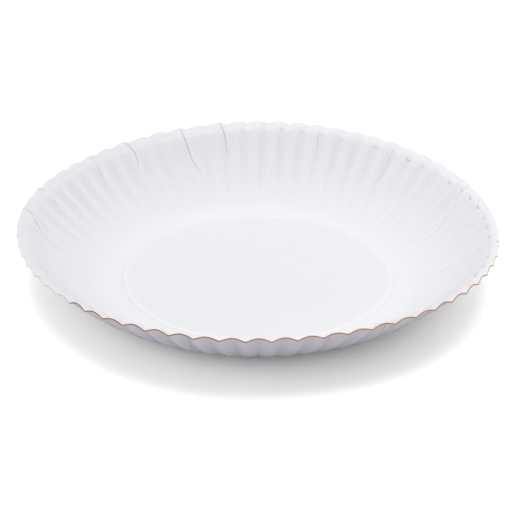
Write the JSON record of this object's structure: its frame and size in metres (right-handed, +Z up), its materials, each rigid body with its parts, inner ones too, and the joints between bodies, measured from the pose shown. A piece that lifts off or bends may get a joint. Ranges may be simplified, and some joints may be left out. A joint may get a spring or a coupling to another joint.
{
  "type": "paper plate",
  "caption": "Round disposable plate of white coated board with a flat centre, a fluted rising wall and a narrow fluted lip.",
  "frame": {"origin": "centre of the plate, on the plane that the standing ring rests on", "axes": "+Z up along the plate's axis; the rim dips a little at +X and -X and is highest at +Y and -Y"},
  "size_m": [0.229, 0.2312, 0.0326],
  "materials": {
    "white_board": "coated"
  },
  "bodies": {
    "root": {"plate": "white_board"}
  },
  "joints": []
}
